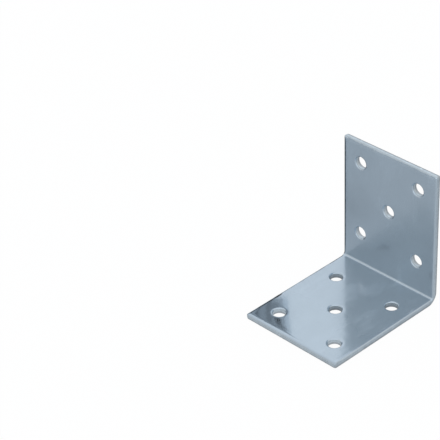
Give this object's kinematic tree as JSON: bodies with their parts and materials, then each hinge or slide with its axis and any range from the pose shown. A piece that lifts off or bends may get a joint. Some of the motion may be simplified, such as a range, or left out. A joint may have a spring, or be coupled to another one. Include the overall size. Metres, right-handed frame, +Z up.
{
  "type": "angle bracket",
  "caption": "Right-angle bracket folded from zinc-plated steel sheet, with two equal legs punched for screws, to join or brace two boards at a corner.",
  "frame": {"origin": "middle of the base leg's underside, which is the bottom centre of the bounding box", "axes": "+X across the width, +Y from the base leg's free edge towards the wall leg's outer face, +Z up along the wall leg"},
  "size_m": [0.04, 0.05, 0.05],
  "materials": {
    "zinc_plate": "bright bluish zinc plate on cold-rolled sheet, half glossy, with faint rolling streaks"
  },
  "bodies": {
    "root": {"angle_bracket": "zinc_plate"}
  },
  "joints": []
}
